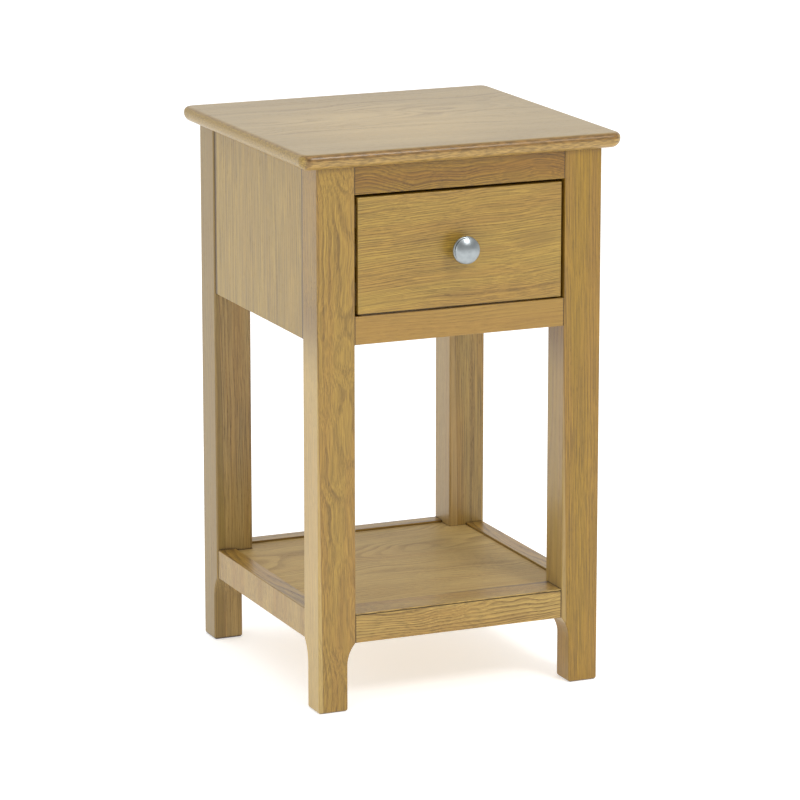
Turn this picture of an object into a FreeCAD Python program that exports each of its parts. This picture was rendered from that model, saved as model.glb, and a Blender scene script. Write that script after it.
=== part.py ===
import FreeCAD, Part
import math
import os
import re
import Sketcher

# Oak bedside table with one drawer and a low shelf, millimetres, +Z up.
# The origin is on the floor, under the middle of the whole outline, knob included.

DIMENSIONS = [
    ("overall_height", 650, "floor to the top face of the table top"),
    ("frame_width", 352, "across the outer faces of the legs"),
    ("frame_depth", 363, "front faces of the legs to their rear faces"),
    ("front_y", -172, "front faces of the legs, which centres the outline on the origin"),
    ("top_width", 396, "table top"),
    ("top_depth", 379, "table top"),
    ("top_thick", 18, "table top"),
    ("top_overhang", 12, "table top past the front faces of the legs"),
    ("top_corner", 13, "plan radius of the top's corners"),
    ("top_upper_round", 6.6, "upper half of the moulded edge"),
    ("top_lower_round", 10.6, "lower half of the moulded edge"),
    ("leg_wide", 46, "leg section along X"),
    ("leg_deep", 44, "leg section along Y"),
    ("leg_arris", 2.2, "rounded long edges of the legs"),
    ("foot_arris", 3.5, "rounded edges under the feet"),
    ("cove_depth", 10, "how far each foot is cut back on its inner faces"),
    ("cove_rise", 26, "height of the hollow curve above the straight foot"),
    ("setback", 1.5, "rails and panels behind the faces of the legs"),
    ("arris", 0.8, "eased edges of rails and panels"),
    ("panel_thick", 18, "side and back panels"),
    ("panel_foot", 430, "lower edge of the side and back panels"),
    ("rail_thick", 22, "front rails"),
    ("top_rail_foot", 599.5, "lower edge of the top rail"),
    ("lower_rail_head", 460.5, "upper edge of the lower rail, where the drawer runs"),
    ("lower_rail_foot", 428, "lower edge of the lower rail"),
    ("shelf_head", 114.5, "upper face of the shelf frame"),
    ("shelf_foot", 80, "lower face of the shelf frame"),
    ("shelf_side_wide", 22, "side members of the shelf frame"),
    ("shelf_front_wide", 38, "front member of the shelf frame"),
    ("shelf_rear_wide", 20, "rear member of the shelf frame"),
    ("shelf_panel_thick", 12, "shelf panel"),
    ("shelf_panel_sink", 2.5, "shelf panel below its frame"),
    ("shelf_panel_step", 1.6, "rebate along the panel's upper edges, so that they fit under the frame"),
    ("shelf_panel_gap", 0.4, "shadow gap between the panel's face and its frame"),
    ("shelf_groove", 6, "depth of the groove that holds the panel"),
    ("quirk_drop", 1.3, "shadow groove below the front member's top edge"),
    ("quirk_size", 1.2, "height and depth of the shadow groove"),
    ("dowel_radius", 4, "wooden dowels"),
    ("dowel_reach", 15, "half of a dowel's length"),
    ("dowel_chamfer", 1, "bevel on the ends of a dowel"),
    ("dowel_inset", 8, "dowels from the edges of a narrow rail"),
    ("panel_dowel_inset", 30, "dowels from the edges of a panel"),
    ("shelf_dowel_line", 8, "dowels behind the outer faces of the shelf frame"),
    ("runner_wide", 44, "drawer runner and kicker"),
    ("runner_thick", 18, "drawer runner"),
    ("guide_thick", 16, "drawer guide, standing on the runner"),
    ("guide_gap", 0.5, "between guide and drawer side"),
    ("kicker_screw_side", 28, "kicker's side screws from its ends"),
    ("kicker_screw_top", 62, "kicker's upright screws from its ends"),
    ("guide_screw_inset", 50, "guide's screws from its ends"),
    ("running_gap", 0.3, "between the drawer and what it rests on or stops against"),
    ("stop_long", 12, "stop blocks behind the drawer sides"),
    ("stop_wide", 12, "stop blocks behind the drawer sides"),
    ("stop_tall", 18, "stop blocks behind the drawer sides"),
    ("stop_rail_thick", 20, "cross rail that ends the drawer's travel"),
    ("stop_rail_tall", 28, "cross rail that ends the drawer's travel"),
    ("cleat_size", 25, "batten along the back panel"),
    ("cross_screw_x", 60, "screws in the cross rail and batten, from the middle"),
    ("drawer_width", 252, "drawer"),
    ("drawer_length", 298.5, "front face to the rear ends of the sides"),
    ("drawer_travel", 200, "closed to fully drawn"),
    ("drawer_front_foot", 463, "lower edge of the drawer front"),
    ("drawer_front_tall", 133, "drawer front"),
    ("drawer_front_thick", 20, "drawer front"),
    ("drawer_side_thick", 12, "drawer sides and back"),
    ("drawer_side_head", 594, "upper edges of the drawer sides"),
    ("drawer_back_head", 586, "upper edge of the drawer back"),
    ("drawer_floor_head", 480, "upper face of the drawer bottom"),
    ("drawer_floor_thick", 6, "drawer bottom"),
    ("drawer_groove", 6, "depth of the grooves that hold the drawer bottom"),
    ("floor_gap", 0.3, "side play of the drawer bottom in its grooves"),
    ("lap", 6, "wood left in front of the lapped dovetails"),
    ("tail_half", 11.5, "half width of a tail at its shoulder"),
    ("tail_flare", 1.9, "how much wider half a tail is at its tip"),
    ("back_tail_half", 10, "half width of a rear tail at its shoulder"),
    ("block_wide", 50, "block that catches the cross rail"),
    ("block_thick", 8, "block that catches the cross rail"),
    ("block_tall", 58, "block that catches the cross rail"),
    ("block_foot", 556, "lower edge of that block"),
    ("knob_radius", 16, "flange of the knob"),
    ("knob_reach", 24.5, "drawer front to the top of the knob's crown"),
    ("crown_radius", 15.2, "crown of the knob, inside its flange"),
    ("crown_rise", 4.4, "rise of the crown from its edge"),
    ("crown_lip", 0.7, "sloping edge of the crown"),
    ("knob_groove", 3, "groove between crown and flange"),
    ("knob_groove_deep", 2.6, "depth of that groove, from the crown's edge"),
    ("knob_groove_slope", 0.3, "slope of its two faces"),
    ("knob_flange", 3.6, "thickness of the flange"),
    ("knob_flange_round", 1.8, "rounded front edge of the flange"),
    ("knob_back_round", 1.2, "rounded back edge of the flange"),
    ("knob_neck_radius", 9, "where the hollow neck leaves the flange"),
    ("knob_neck_drop", 1.2, "start of the neck behind the flange"),
    ("knob_waist_radius", 5.1, "neck at its narrowest"),
    ("knob_waist_height", 7.2, "narrowest place of the neck, from the drawer front"),
    ("knob_foot_radius", 7.8, "foot of the knob"),
    ("knob_foot_tall", 1.2, "foot of the knob"),
    ("knob_bore", 10, "depth of the threaded hole in the knob"),
    ("screw_radius", 2, "shank of wood screws and knob screw"),
    ("screw_head_radius", 4, "head of wood screws and knob screw"),
    ("screw_head_tall", 2.6, "head of wood screws and knob screw"),
    ("head_edge_share", 0.55, "upright edge of a screw head, of its height"),
    ("head_crown_share", 0.72, "flat of a screw head, of its radius"),
    ("point_share", 0.4, "blunt tip of a wood screw, of its radius"),
    ("recess_arm_share", 0.55, "arms of the cross recess, of the head's radius"),
    ("recess_half_share", 0.12, "half width of those arms, of the head's radius"),
    ("recess_deep_share", 0.6, "depth of the cross recess, of the head's height"),
    ("screw_long", 30, "wood screw under its head"),
    ("screw_hold", 18, "wood left under a counterbored head"),
    ("small_screw_radius", 1.5, "small screw shank"),
    ("small_head_radius", 3, "small screw head"),
    ("small_head_tall", 1.8, "small screw head"),
    ("small_screw_long", 16, "small screw under its head"),
    ("screw_play", 0.05, "hole radius over shank radius"),
    ("counterbore_radius", 4.6, "holes for sunk screw heads"),
    ("pilot_spare", 1, "pilot holes deeper than the screws reach"),
    ("cutter_spare", 1, "how far a cutting outline runs past the wood"),
]

LEFT, RIGHT = -1, 1
FRONT, REAR = -1, 1
NEAR = 0.01
LEAST_CUT = 0.5
NORMAL_HEADING = {"XY_Plane": 1, "XZ_Plane": -1, "YZ_Plane": 1}

# rotations, named for the way that a screw then points
UP = FreeCAD.Rotation(FreeCAD.Vector(1, 0, 0), 180)
BACKWARD = FreeCAD.Rotation(FreeCAD.Vector(1, 0, 0), 90)
FORWARD = FreeCAD.Rotation(FreeCAD.Vector(1, 0, 0), -90)
LEFTWARD = FreeCAD.Rotation(FreeCAD.Vector(0, 1, 0), 90)
RIGHTWARD = FreeCAD.Rotation(FreeCAD.Vector(0, 1, 0), -90)

doc = FreeCAD.newDocument("bedside_table")
sheet = doc.addObject("Spreadsheet::Sheet", "Dims")
sub_parts = []


def fill_sheet():
    for row, (alias, size, note) in enumerate(DIMENSIONS, start=1):
        sheet.set(f"A{row}", alias)
        sheet.set(f"B{row}", str(size))
        sheet.set(f"C{row}", note)
        sheet.setAlias(f"B{row}", alias)
    doc.recompute()


# ---- formulas: plain words in them are the sheet's aliases ----

def formula(text):
    return re.sub(r"\b[a-z][a-z_]*\b(?!\()", lambda word: "Dims." + word.group(0), str(text))


def value(text):
    return float(sheet.evalExpression(formula(text)))


def bind(thing, **sizes):
    for name, text in sizes.items():
        thing.setExpression(name, formula(text))


def place(thing, x, y, z, rotation=None):
    if rotation is not None:
        thing.Placement = FreeCAD.Placement(FreeCAD.Vector(), rotation)
    for axis, text in zip("xyz", (x, y, z)):
        thing.setExpression(f"Placement.Base.{axis}", formula(text))


# ---- sketches ----

def new_body(label):
    body = doc.addObject("PartDesign::Body", label)
    body.Label = label
    return body


def origin_plane(body, role):
    return next(item for item in body.Origin.OriginFeatures if item.Role == role)


def new_sketch(body, name, plane, position):
    sketch = body.newObject("Sketcher::SketchObject", f"{body.Name}_{name}")
    sketch.AttachmentSupport = (origin_plane(body, plane), [""])
    sketch.MapMode = "FlatFace"
    shift = f"{NORMAL_HEADING[plane]} * ({position})"
    sketch.setExpression("AttachmentOffset.Base.z", formula(shift))
    return sketch


def fix_point(sketch, index, vertex, u, v):
    for kind, text in (("DistanceX", u), ("DistanceY", v)):
        number = sketch.addConstraint(Sketcher.Constraint(kind, -1, 1, index, vertex, value(text)))
        sketch.setExpression(f"Constraints[{number}]", formula(text))


def arc_between(start, end, radius, turn):
    # turn is 1 for a counter-clockwise arc from start to end, -1 for a clockwise one
    chord = end - start
    middle = (start + end) / 2
    rise = math.sqrt(max(radius ** 2 - (chord.Length / 2) ** 2, 0))
    side = FreeCAD.Vector(-chord.y, chord.x, 0).normalize() * turn
    centre = middle + side * rise
    angles = [math.atan2(point.y - centre.y, point.x - centre.x) for point in (start, end)]
    if turn < 0:
        angles.reverse()
    circle = Part.Circle(centre, FreeCAD.Vector(0, 0, 1), radius)
    return Part.ArcOfCircle(circle, angles[0], angles[1])


def draw_outline(sketch, corners):
    # a corner is (u, v), or (u, v, radius, turn) where an arc leads on to the next corner
    points = [FreeCAD.Vector(value(corner[0]), value(corner[1]), 0) for corner in corners]
    first = sketch.GeometryCount
    ends = []
    for number, corner in enumerate(corners):
        start = points[number]
        end = points[(number + 1) % len(points)]
        if len(corner) == 2:
            sketch.addGeometry(Part.LineSegment(start, end), False)
            ends.append((1, 2))
        else:
            sketch.addGeometry(arc_between(start, end, value(corner[2]), corner[3]), False)
            ends.append((1, 2) if corner[3] > 0 else (2, 1))
    for number, corner in enumerate(corners):
        following = (number + 1) % len(corners)
        joined = ("Coincident", first + number, ends[number][1], first + following, ends[following][0])
        sketch.addConstraint(Sketcher.Constraint(*joined))
        fix_point(sketch, first + number, ends[number][0], corner[0], corner[1])
    for number, corner in enumerate(corners):
        if len(corner) == 4:
            radius = Sketcher.Constraint("Radius", first + number, value(corner[2]))
            sketch.setExpression(f"Constraints[{sketch.addConstraint(radius)}]", formula(corner[2]))


def draw_circles(sketch, centres, radius):
    for u, v in centres:
        middle = FreeCAD.Vector(value(u), value(v), 0)
        index = sketch.addGeometry(Part.Circle(middle, FreeCAD.Vector(0, 0, 1), value(radius)), False)
        fix_point(sketch, index, 3, u, v)
        number = sketch.addConstraint(Sketcher.Constraint("Radius", index, value(radius)))
        sketch.setExpression(f"Constraints[{number}]", formula(radius))


def rectangle(u_low, v_low, u_high, v_high):
    return [(u_low, v_low), (u_high, v_low), (u_high, v_high), (u_low, v_high)]


# ---- features ----

def pad(body, name, plane, outlines, length, position="0", midplane=False):
    sketch = new_sketch(body, name, plane, position)
    for corners in outlines:
        draw_outline(sketch, corners)
    feature = body.newObject("PartDesign::Pad", f"{body.Name}_{name}_pad")
    feature.Profile = sketch
    feature.Midplane = midplane
    feature.Reversed = NORMAL_HEADING[plane] < 0 and not midplane
    bind(feature, Length=length)
    doc.recompute()
    return feature


def cut(body, sketch, plane, depth, heading):
    before = body.Shape.Volume
    feature = body.newObject("PartDesign::Pocket", f"{sketch.Name}_cut")
    feature.Profile = sketch
    if depth is None:
        feature.Type = "ThroughAll"
        feature.Midplane = True
    else:
        bind(feature, Length=depth)
        feature.Reversed = heading == NORMAL_HEADING[plane]
    doc.recompute()
    if not body.Shape.Volume < before - LEAST_CUT:
        raise RuntimeError(f"{feature.Name} removes nothing")
    return feature


def pocket(body, name, plane, outlines, depth=None, position="0", heading=1):
    sketch = new_sketch(body, name, plane, position)
    for corners in outlines:
        draw_outline(sketch, corners)
    return cut(body, sketch, plane, depth, heading)


def drill(body, name, plane, centres, radius, depth, position, heading):
    sketch = new_sketch(body, name, plane, position)
    draw_circles(sketch, centres, radius)
    return cut(body, sketch, plane, depth, heading)


def mirror(body, features, plane):
    before = body.Shape.Volume
    feature = body.newObject("PartDesign::Mirrored", f"{features[0].Name}_mirrored")
    feature.Originals = features
    feature.MirrorPlane = (origin_plane(body, plane), [""])
    body.Tip = feature
    doc.recompute()
    if not body.Shape.Volume < before - LEAST_CUT:
        raise RuntimeError(f"{feature.Name} removes nothing")


def round_edges(body, radius, wanted):
    base = body.Tip
    names = []
    for number, edge in enumerate(base.Shape.Edges, start=1):
        if wanted(edge):
            names.append(f"Edge{number}")
    feature = body.newObject("PartDesign::Fillet", f"{base.Name}_round")
    feature.Base = (base, names)
    bind(feature, Radius=radius)
    doc.recompute()


def box_lines(edge, axis):
    # straight edges along one axis
    box = edge.BoundBox
    spans = {"x": box.XLength, "y": box.YLength, "z": box.ZLength}
    return all((spans[name] > NEAR) == (name == axis) for name in spans)


def finish(thing):
    sub_parts.append(thing)
    return thing


# ---- fasteners ----

def make_screw(name, radius, head_radius, head_tall, long, point):
    # the head stands on the origin plane and the shank runs down from it
    screw = new_body(name)
    sketch = new_sketch(screw, "profile", "XZ_Plane", "0")
    if point:
        tip = [(f"{radius} * point_share", f"0 - {long}"), (radius, f"2 * {radius} - {long}")]
    else:
        tip = [(radius, f"0 - {long}")]
    draw_outline(sketch, [
        ("0", head_tall),
        ("0", f"0 - {long}"),
        *tip,
        (radius, "0"),
        (head_radius, "0"),
        (head_radius, f"{head_tall} * head_edge_share"),
        (f"{head_radius} * head_crown_share", head_tall),
    ])
    turned = screw.newObject("PartDesign::Revolution", f"{name}_turned")
    turned.Profile = sketch
    turned.ReferenceAxis = (sketch, ["V_Axis"])
    turned.Angle = 360
    doc.recompute()
    arm = f"{head_radius} * recess_arm_share"
    half = f"{head_radius} * recess_half_share"
    cross = []
    for u, v in ((1, 0), (0, 1), (-1, 0), (0, -1)):
        # the two ends of one arm, and the inner corner that leads to the next
        cross.append((f"{u} * {arm} + {v} * {half}", f"{v} * {arm} - {u} * {half}"))
        cross.append((f"{u} * {arm} - {v} * {half}", f"{v} * {arm} + {u} * {half}"))
        cross.append((f"{u - v} * {half}", f"{u + v} * {half}"))
    pocket(screw, "recess", "XY_Plane", [cross], f"{head_tall} * recess_deep_share", head_tall, -1)
    return screw


def group_of(label, model, places):
    # one node for identical loose pieces: each stays a solid of its own
    links = []
    for number, (x, y, z, rotation) in enumerate(places, start=1):
        link = doc.addObject("App::Link", f"{label}_{number}")
        link.LinkedObject = model
        place(link, x, y, z, rotation)
        links.append(link)
    group = doc.addObject("Part::Compound", label)
    group.Label = label
    group.Links = links
    return finish(group)


def make_dowel():
    dowel = new_body("dowel_model")
    sketch = new_sketch(dowel, "section", "XY_Plane", "0")
    draw_circles(sketch, [("0", "0")], "dowel_radius")
    rod = dowel.newObject("PartDesign::Pad", "dowel_rod")
    rod.Profile = sketch
    rod.Midplane = True
    bind(rod, Length="2 * dowel_reach")
    doc.recompute()
    chamfer = dowel.newObject("PartDesign::Chamfer", "dowel_ends")
    chamfer.Base = (rod, ["Edge1", "Edge3"])
    bind(chamfer, Size="dowel_chamfer")
    doc.recompute()
    return dowel


# ---- places that several pieces share ----

LEG_X = "(frame_width / 2 - leg_wide / 2)"
LEG_Y = {FRONT: "(front_y + leg_deep / 2)", REAR: "(front_y + frame_depth - leg_deep / 2)"}
INNER_X = "(frame_width / 2 - leg_wide)"
INNER_FRONT_Y = "(front_y + leg_deep)"
INNER_REAR_Y = "(front_y + frame_depth - leg_deep)"
BETWEEN_LEGS_X = "(frame_width - 2 * leg_wide)"
BETWEEN_LEGS_Y = "(frame_depth - 2 * leg_deep)"
MIDDLE_Y = "(front_y + frame_depth / 2)"
TOP_UNDERSIDE = "(overall_height - top_thick)"
PANEL_INNER_X = "(frame_width / 2 - setback - panel_thick)"
BACK_INNER_Y = "(front_y + frame_depth - setback - panel_thick)"
RAIL_BACK_Y = "(front_y + setback + rail_thick)"
RUNNER_INNER_X = f"({PANEL_INNER_X} - runner_wide)"
KICKER_TALL = f"({TOP_UNDERSIDE} - top_rail_foot)"
DRAWER_Y = "(front_y + setback)"
DRAWER_SIDE_FOOT = "(lower_rail_head + running_gap)"
KNOB_Z = "(drawer_front_foot + drawer_front_tall / 2)"
SHELF_TALL = "(shelf_head - shelf_foot)"
SCREW_HOLE = "(screw_radius + screw_play)"
SMALL_HOLE = "(small_screw_radius + screw_play)"
PILOT = "(screw_long - screw_hold + pilot_spare)"

FRONT_DOWEL_Y = "(setback + rail_thick / 2)"
PANEL_DOWEL_IN = "(setback + panel_thick / 2)"
SHELF_DOWEL_IN = "(setback + shelf_dowel_line)"
NARROW_Z = {
    "top": ["(top_rail_foot + dowel_inset)", f"({TOP_UNDERSIDE} - dowel_inset)"],
    "lower": ["(lower_rail_foot + dowel_inset)", "(lower_rail_head - dowel_inset)"],
    "shelf": ["(shelf_foot + dowel_inset)", "(shelf_head - dowel_inset)"],
}
PANEL_Z = [
    "(panel_foot + panel_dowel_inset)",
    f"((panel_foot + {TOP_UNDERSIDE}) / 2)",
    f"({TOP_UNDERSIDE} - panel_dowel_inset)",
]
CROSS_Y = {
    "stop_rail": f"({DRAWER_Y} + drawer_length - drawer_side_thick - block_thick - drawer_travel"
                 " - running_gap - stop_rail_thick / 2)",
    "cleat": f"({BACK_INNER_Y} - cleat_size / 2)",
}
KICKER_SCREW_Y = [f"({INNER_FRONT_Y} + kicker_screw_top)", f"({INNER_REAR_Y} - kicker_screw_top)"]
KICKER_SIDE_Y = [f"({INNER_FRONT_Y} + kicker_screw_side)", f"({INNER_REAR_Y} - kicker_screw_side)"]
GUIDE_SCREW_Y = [f"({INNER_FRONT_Y} + guide_screw_inset)", f"({INNER_REAR_Y} - guide_screw_inset)"]
KICKER_X = f"({PANEL_INNER_X} - runner_wide / 2)"
KICKER_SIDE_Z = f"({TOP_UNDERSIDE} - {KICKER_TALL} / 2)"
GUIDE_WIDE = f"({PANEL_INNER_X} - drawer_width / 2 - guide_gap)"
GUIDE_SCREW_Z = "(lower_rail_head + guide_thick / 2)"


# ---- the frame ----

def top_screw_points():
    points = []
    for side in (LEFT, RIGHT):
        points += [(f"{side} * {KICKER_X}", y) for y in KICKER_SCREW_Y]
        points += [(f"{side} * cross_screw_x", y) for y in CROSS_Y.values()]
    return points


def make_tabletop():
    top = new_body("tabletop")
    middle_y = "(front_y - top_overhang + top_depth / 2)"
    edges = rectangle("0 - top_width / 2", "0 - top_depth / 2", "top_width / 2", "top_depth / 2")
    pad(top, "board", "XY_Plane", [edges], "top_thick")
    round_edges(top, "top_corner", lambda edge: box_lines(edge, "z"))
    thick = value("top_thick")
    round_edges(top, "top_upper_round", lambda edge: edge.BoundBox.ZMin > thick - NEAR)
    round_edges(top, "top_lower_round", lambda edge: edge.BoundBox.ZMax < NEAR)
    holes = [(x, f"{y} - {middle_y}") for x, y in top_screw_points()]
    drill(top, "pilots", "XY_Plane", holes, SCREW_HOLE, PILOT, "0", 1)
    place(top, "0", middle_y, TOP_UNDERSIDE)
    return finish(top)


def cove(inward, half):
    # hollow curve from the leg's inner face down to the narrower foot
    radius = "(cove_depth ^ 2 + cove_rise ^ 2) / (2 * cove_depth)"
    foot = f"{inward} * ({half} - cove_depth)"
    return [
        (f"{inward} * {half}", "shelf_foot", radius, inward),
        (foot, "shelf_foot - cove_rise"),
        (foot, "0 - cutter_spare"),
        (f"{inward} * ({half} + cutter_spare)", "0 - cutter_spare"),
        (f"{inward} * ({half} + cutter_spare)", "shelf_foot"),
    ]


def make_leg(name, side, end):
    leg = new_body(name)
    half_x = "leg_wide / 2"
    half_y = "leg_deep / 2"
    section = rectangle(f"0 - {half_x}", f"0 - {half_y}", half_x, half_y)
    pad(leg, "post", "XY_Plane", [section], TOP_UNDERSIDE)
    pocket(leg, "cove_x", "XZ_Plane", [cove(-side, half_x)])
    pocket(leg, "cove_y", "YZ_Plane", [cove(-end, half_y)])
    shortest = value("cove_rise") / 2
    round_edges(leg, "leg_arris", lambda edge: edge.BoundBox.ZLength > shortest)
    round_edges(leg, "foot_arris", lambda edge: edge.BoundBox.ZMax < NEAR)
    # dowel holes: along X for the rails or back panel, along Y for the side panel and shelf
    in_x = f"{end} * ({half_y} - "
    if end == FRONT:
        holes = [(f"{in_x}{FRONT_DOWEL_Y})", z) for z in NARROW_Z["top"] + NARROW_Z["lower"]]
    else:
        holes = [(f"{in_x}{PANEL_DOWEL_IN})", z) for z in PANEL_Z]
    holes += [(f"{in_x}{SHELF_DOWEL_IN})", z) for z in NARROW_Z["shelf"]]
    drill(leg, "dowels_x", "YZ_Plane", holes, "dowel_radius", "dowel_reach", f"{-side} * {half_x}", side)
    in_y = f"{side} * ({half_x} - "
    holes = [(f"{in_y}{PANEL_DOWEL_IN})", z) for z in PANEL_Z]
    holes += [(f"{in_y}{SHELF_DOWEL_IN})", z) for z in NARROW_Z["shelf"]]
    drill(leg, "dowels_y", "XZ_Plane", holes, "dowel_radius", "dowel_reach", f"{-end} * {half_y}", end)
    place(leg, f"{side} * {LEG_X}", LEG_Y[end], "0")
    return finish(leg)


def make_cross_board(name, thick, tall, dowels):
    # a board between two legs, along X, standing on its local origin plane
    board = new_body(name)
    half = f"{BETWEEN_LEGS_X} / 2"
    section = rectangle(f"0 - {half}", f"0 - {thick} / 2", half, f"{thick} / 2")
    pad(board, "board", "XY_Plane", [section], tall)
    round_edges(board, "arris", lambda edge: box_lines(edge, "x") and edge.BoundBox.YMax < 0)
    holes = drill(board, "dowels", "YZ_Plane", dowels, "dowel_radius", "dowel_reach", half, -1)
    mirror(board, [holes], "YZ_Plane")
    return board


def make_front_rails():
    for name, key, foot, head in (
        ("top_rail_front", "top", "top_rail_foot", TOP_UNDERSIDE),
        ("lower_rail_front", "lower", "lower_rail_foot", "lower_rail_head"),
    ):
        dowels = [("0", f"{z} - {foot}") for z in NARROW_Z[key]]
        rail = make_cross_board(name, "rail_thick", f"({head} - {foot})", dowels)
        place(rail, "0", "front_y + setback + rail_thick / 2", foot)
        finish(rail)


def make_back_panel():
    dowels = [("0", f"{z} - panel_foot") for z in PANEL_Z]
    panel = make_cross_board("back_panel", "panel_thick", f"({TOP_UNDERSIDE} - panel_foot)", dowels)
    rotation = FreeCAD.Rotation(FreeCAD.Vector(0, 0, 1), 180)
    place(panel, "0", f"{BACK_INNER_Y} + panel_thick / 2", "panel_foot", rotation)
    finish(panel)


def make_side_panel(name, side):
    panel = new_body(name)
    half_x = "panel_thick / 2"
    half_y = f"{BETWEEN_LEGS_Y} / 2"
    section = rectangle(f"0 - {half_x}", f"0 - {half_y}", half_x, half_y)
    pad(panel, "board", "XY_Plane", [section], f"{TOP_UNDERSIDE} - panel_foot")
    round_edges(panel, "arris", lambda edge: box_lines(edge, "y") and edge.BoundBox.XMin * side > 0)
    dowels = [("0", f"{z} - panel_foot") for z in PANEL_Z]
    holes = drill(panel, "dowels", "XZ_Plane", dowels, "dowel_radius", "dowel_reach", half_y, -1)
    mirror(panel, [holes], "XZ_Plane")
    pilots = [(f"{y} - {MIDDLE_Y}", f"{GUIDE_SCREW_Z} - panel_foot") for y in GUIDE_SCREW_Y]
    pilots += [(f"{y} - {MIDDLE_Y}", f"{KICKER_SIDE_Z} - panel_foot") for y in KICKER_SIDE_Y]
    drill(panel, "pilots", "YZ_Plane", pilots, SCREW_HOLE, PILOT, f"{-side} * {half_x}", side)
    place(panel, f"{side} * (frame_width / 2 - setback - panel_thick / 2)", MIDDLE_Y, "panel_foot")
    return finish(panel)


# ---- what the drawer runs on, hidden in the frame ----

def make_runner(name, side):
    # notched round both legs, so that it reaches the lower rail and the back panel
    runner = new_body(name)
    inner = f"{side} * {RUNNER_INNER_X}"
    leg_face = f"{side} * {INNER_X}"
    outer = f"{side} * {PANEL_INNER_X}"
    outline = [
        (inner, RAIL_BACK_Y), (leg_face, RAIL_BACK_Y), (leg_face, INNER_FRONT_Y), (outer, INNER_FRONT_Y),
        (outer, INNER_REAR_Y), (leg_face, INNER_REAR_Y), (leg_face, BACK_INNER_Y), (inner, BACK_INNER_Y),
    ]
    pad(runner, "board", "XY_Plane", [outline], "runner_thick")
    place(runner, "0", "0", "lower_rail_head - runner_thick")
    return finish(runner)


def make_guide(name, side):
    guide = new_body(name)
    half_x = f"{GUIDE_WIDE} / 2"
    half_y = f"{BETWEEN_LEGS_Y} / 2"
    section = rectangle(f"0 - {half_x}", f"0 - {half_y}", half_x, half_y)
    pad(guide, "board", "XY_Plane", [section], "guide_thick")
    centres = [(f"{y} - {MIDDLE_Y}", "guide_thick / 2") for y in GUIDE_SCREW_Y]
    face = f"{-side} * {half_x}"
    drill(guide, "screws", "YZ_Plane", centres, SCREW_HOLE, GUIDE_WIDE, face, side)
    sink = f"{GUIDE_WIDE} - screw_hold"
    drill(guide, "sinks", "YZ_Plane", centres, "counterbore_radius", sink, face, side)
    place(guide, f"{side} * ({PANEL_INNER_X} - {half_x})", MIDDLE_Y, "lower_rail_head")
    return finish(guide)


def make_kicker(name, side):
    # keeps the drawer level when it is drawn, and takes the screws that hold the top
    kicker = new_body(name)
    half_x = "runner_wide / 2"
    half_y = f"{BETWEEN_LEGS_Y} / 2"
    section = rectangle(f"0 - {half_x}", f"0 - {half_y}", half_x, half_y)
    pad(kicker, "board", "XY_Plane", [section], KICKER_TALL)
    centres = [("0", f"{y} - {MIDDLE_Y}") for y in KICKER_SCREW_Y]
    drill(kicker, "top_screws", "XY_Plane", centres, SCREW_HOLE, KICKER_TALL, "0", 1)
    sink = f"{KICKER_TALL} - screw_hold"
    drill(kicker, "top_sinks", "XY_Plane", centres, "counterbore_radius", sink, "0", 1)
    centres = [(f"{y} - {MIDDLE_Y}", f"{KICKER_TALL} / 2") for y in KICKER_SIDE_Y]
    face = f"{-side} * {half_x}"
    drill(kicker, "side_screws", "YZ_Plane", centres, SCREW_HOLE, "runner_wide", face, side)
    sink = "runner_wide - screw_hold"
    drill(kicker, "side_sinks", "YZ_Plane", centres, "counterbore_radius", sink, face, side)
    place(kicker, f"{side} * {KICKER_X}", MIDDLE_Y, "top_rail_foot")
    return finish(kicker)


def make_cross_batten(name, key, thick, tall):
    # between the kickers, screwed up into the top
    batten = new_body(name)
    half_x = RUNNER_INNER_X
    section = rectangle(f"0 - {half_x}", f"0 - {thick} / 2", half_x, f"{thick} / 2")
    pad(batten, "board", "XY_Plane", [section], tall)
    centres = [("0 - cross_screw_x", "0"), ("cross_screw_x", "0")]
    drill(batten, "screws", "XY_Plane", centres, SCREW_HOLE, tall, "0", 1)
    drill(batten, "sinks", "XY_Plane", centres, "counterbore_radius", f"{tall} - screw_hold", "0", 1)
    place(batten, "0", CROSS_Y[key], f"{TOP_UNDERSIDE} - {tall}")
    return finish(batten)


def make_drawer_stop(name, side):
    stop = doc.addObject("Part::Box", name)
    stop.Label = name
    bind(stop, Length="stop_wide", Width="stop_long", Height="stop_tall")
    middle_x = f"{side} * (drawer_width / 2 + guide_gap - stop_wide / 2)"
    front_y = f"{DRAWER_Y} + drawer_length + running_gap"
    place(stop, f"{middle_x} - stop_wide / 2", front_y, "lower_rail_head")
    return finish(stop)


# ---- the shelf ----

TONGUE_THICK = "(shelf_panel_thick - shelf_panel_step)"


def shelf_section(wide, quirk):
    # across a frame member: outer face at 0, groove for the panel at the inner face
    groove_foot = f"{SHELF_TALL} - shelf_panel_sink - shelf_panel_thick"
    groove_head = f"{groove_foot} + {TONGUE_THICK}"
    corners = [
        ("0", "0"),
        (wide, "0"),
        (wide, groove_foot),
        (f"{wide} - shelf_groove", groove_foot),
        (f"{wide} - shelf_groove", groove_head),
        (wide, groove_head),
        (wide, SHELF_TALL),
        ("0", SHELF_TALL),
    ]
    if quirk:
        below_top = f"{SHELF_TALL} - quirk_drop"
        corners += [
            ("0", below_top),
            ("quirk_size", below_top),
            ("quirk_size", f"{below_top} - quirk_size"),
            ("0", f"{below_top} - quirk_size"),
        ]
    return corners


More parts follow.
